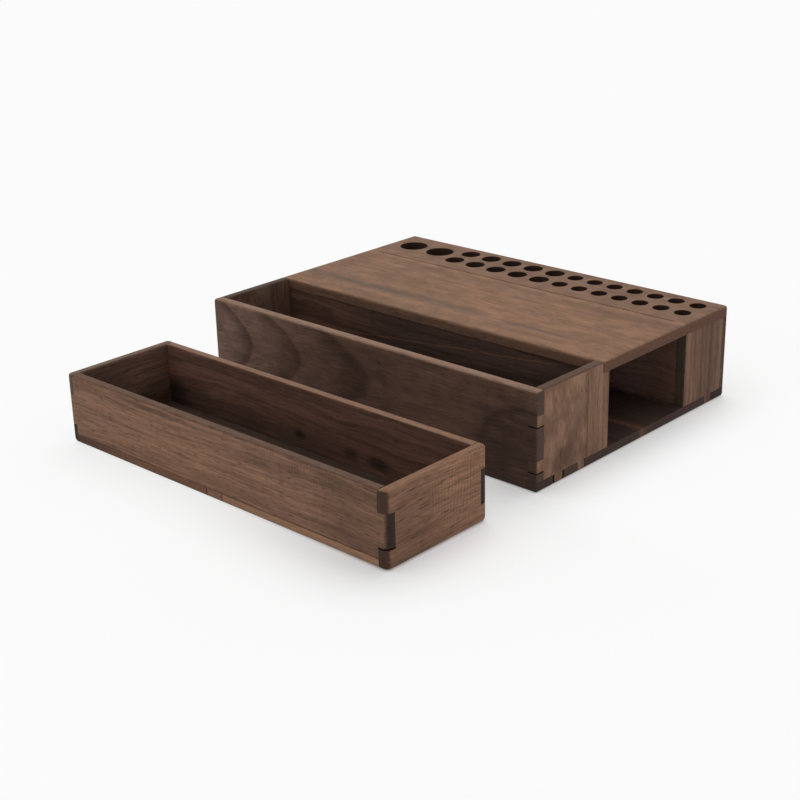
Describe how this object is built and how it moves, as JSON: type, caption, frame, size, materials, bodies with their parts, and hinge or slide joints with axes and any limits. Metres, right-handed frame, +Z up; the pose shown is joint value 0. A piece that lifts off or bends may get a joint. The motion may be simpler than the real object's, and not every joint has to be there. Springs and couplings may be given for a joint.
{
  "type": "pen stand with drawer",
  "caption": "Low wooden desk organizer with an open front tray, rows of round pen holes along the back of its top, and a finger-jointed drawer that slides through a tunnel from either end.",
  "frame": {"origin": "centre of the underside of the case, on the surface that it stands on", "axes": "+X to the right along the length of the case, +Y from the open tray to the pen holes at the back, +Z up; the drawer stands apart in front of the case, towards -Y"},
  "size_m": [0.3007, 0.3567, 0.068],
  "materials": {
    "case_front_walnut": "fine-sanded walnut with a matte oil finish",
    "top_walnut": "fine-sanded walnut with a matte oil finish",
    "end_walnut": "fine-sanded walnut with a matte oil finish",
    "inner_walnut": "fine-sanded walnut with a matte oil finish",
    "bottom_walnut": "fine-sanded walnut with a matte oil finish",
    "drawer_walnut": "fine-sanded walnut with a matte oil finish"
  },
  "bodies": {
    "case": {"bottom_front_stave": "bottom_walnut", "bottom_rear_stave": "bottom_walnut", "case_front_board": "case_front_walnut", "case_rear_board": "case_front_walnut", "left_rear_end_board": "end_walnut", "left_tray_end_narrow_stave": "end_walnut", "left_tray_end_wide_stave": "end_walnut", "right_rear_end_board": "end_walnut", "right_tray_end_narrow_stave": "end_walnut", "right_tray_end_wide_stave": "end_walnut", "top_board": "top_walnut", "tray_back_wall": "inner_walnut", "tunnel_rear_wall": "inner_walnut"},
    "drawer": {"drawer_front_board": "drawer_walnut", "drawer_rear_board": "drawer_walnut", "drawer_left_end": "drawer_walnut", "drawer_right_end": "drawer_walnut", "drawer_bottom": "drawer_walnut"}
  },
  "joints": [
    {"name": "drawer_slide", "type": "slide", "parent": "case", "child": "drawer", "axis": [1, 0, 0], "range_m": [-0.3, 0.3]}
  ]
}
